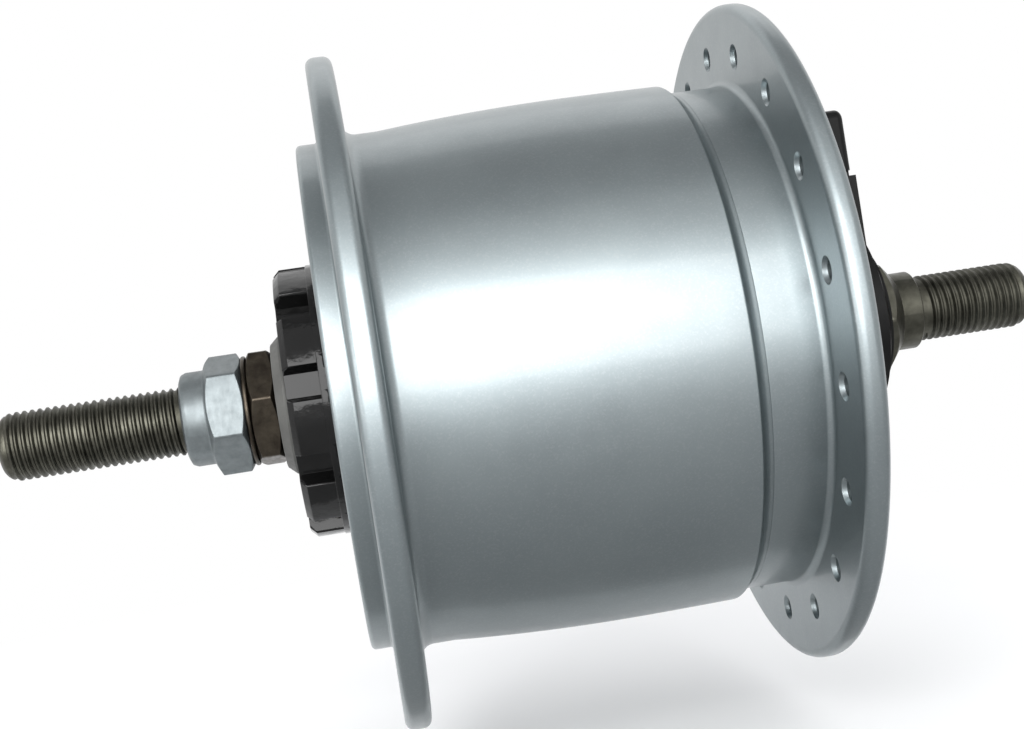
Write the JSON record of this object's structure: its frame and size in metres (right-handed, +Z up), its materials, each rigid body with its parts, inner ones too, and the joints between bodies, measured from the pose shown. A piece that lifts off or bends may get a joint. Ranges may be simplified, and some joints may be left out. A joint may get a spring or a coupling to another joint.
{
  "type": "hub dynamo",
  "caption": "Flanged bicycle front hub with a built-in dynamo: nutted axle, splined ring for a roller brake on one side, plug connector on the other.",
  "frame": {"origin": "middle of the axle, on its axis", "axes": "+Y along the axle from the brake spline to the connector, +Z up along the connector arm, +X square to both, towards the side that the picture shows"},
  "size_m": [0.0886, 0.14, 0.0886],
  "materials": {
    "axle_steel": "dark oil-blackened steel, rolled threads",
    "dark_steel": "brown-black oxide",
    "grey_seal": "grey rubber",
    "zinc_steel": "bright zinc plate",
    "bearing_steel": "ground and hardened",
    "olive_steel": "olive-grey zinc plate",
    "stator_steel": "bare electrical steel",
    "bobbin_plastic": "natural nylon",
    "copper_wire": "varnished copper wire",
    "black_plastic": "moulded black plastic",
    "terminal_brass": "plain brass",
    "lead_sleeve": "red wire insulation",
    "silver_paint": "silver metallic paint, clear coat",
    "black_spline": "gloss black coat",
    "dust_cap_steel": "pressed steel",
    "ball_steel": "polished",
    "ferrite": "sintered ferrite, dull grey-black"
  },
  "bodies": {
    "axle_assembly": {"axle": "axle_steel", "left_cone": "dark_steel", "left_dust_seal": "grey_seal", "left_lock_washer": "dark_steel", "left_lock_nut": "zinc_steel", "right_cone": "bearing_steel", "right_dust_seal": "grey_seal", "slotted_spacer": "dark_steel", "cone_lock_nut": "dark_steel", "right_lock_nut": "olive_steel", "left_claw_plate": "stator_steel", "right_claw_plate": "stator_steel", "stator_core": "stator_steel", "coil_bobbin": "bobbin_plastic", "coil_winding": "copper_wire", "stator_washers": "stator_steel", "stator_nuts": "dark_steel", "connector_cap": "black_plastic", "live_terminal": "terminal_brass", "earth_terminal": "terminal_brass", "lead": "lead_sleeve"},
    "hub": {"hub_shell": "silver_paint", "end_flange": "silver_paint", "brake_spline_ring": "black_spline", "left_ball_cup": "bearing_steel", "left_dust_cap": "dust_cap_steel", "right_ball_cup": "bearing_steel", "right_dust_cap": "dust_cap_steel", "magnet_yoke": "stator_steel", "magnet_segments": "ferrite"},
    "left_bearing": {"left_balls": "ball_steel", "left_ball_cage": "dust_cap_steel"},
    "right_bearing": {"right_balls": "ball_steel", "right_ball_cage": "dust_cap_steel"}
  },
  "joints": [
    {"name": "hub_spin", "type": "hinge", "parent": "axle_assembly", "child": "hub", "pos_m": [0, 0, 0], "axis": [0, 1, 0], "continuous": true},
    {"name": "left_bearing_spin", "type": "hinge", "parent": "axle_assembly", "child": "left_bearing", "pos_m": [0, 0, 0], "axis": [0, 1, 0], "continuous": true},
    {"name": "right_bearing_spin", "type": "hinge", "parent": "axle_assembly", "child": "right_bearing", "pos_m": [0, 0, 0], "axis": [0, 1, 0], "continuous": true}
  ],
  "couplings": [
    {"joint": "left_bearing_spin", "follows": "hub_spin", "ratio": 0.5978},
    {"joint": "right_bearing_spin", "follows": "hub_spin", "ratio": 0.5978}
  ]
}
